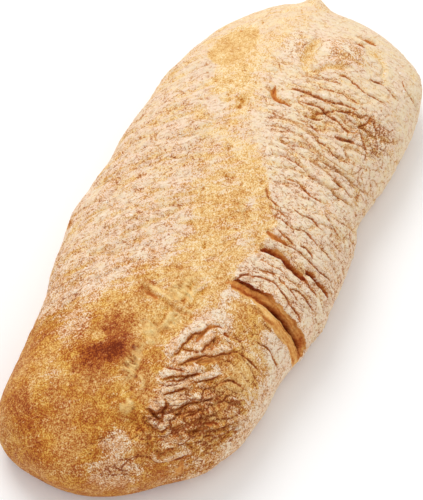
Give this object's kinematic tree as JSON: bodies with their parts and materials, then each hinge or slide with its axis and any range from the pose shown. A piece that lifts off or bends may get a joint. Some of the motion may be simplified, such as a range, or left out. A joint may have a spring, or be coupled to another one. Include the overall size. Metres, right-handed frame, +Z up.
{
  "type": "ciabatta loaf",
  "caption": "Long flat oval loaf of bread with a floured, wrinkled crust, deep folds down one flank and a browned end.",
  "frame": {"origin": "middle of the flat base, centred under the loaf", "axes": "+X along the loaf from its browned end to its pale end, +Y towards the smoother flank, -Y towards the wrinkled and folded flank, +Z up"},
  "size_m": [0.2572, 0.1192, 0.0564],
  "materials": {
    "crust": "dry matte crust, dusted with white flour over golden to amber brown"
  },
  "bodies": {
    "root": {"loaf": "crust"}
  },
  "joints": []
}
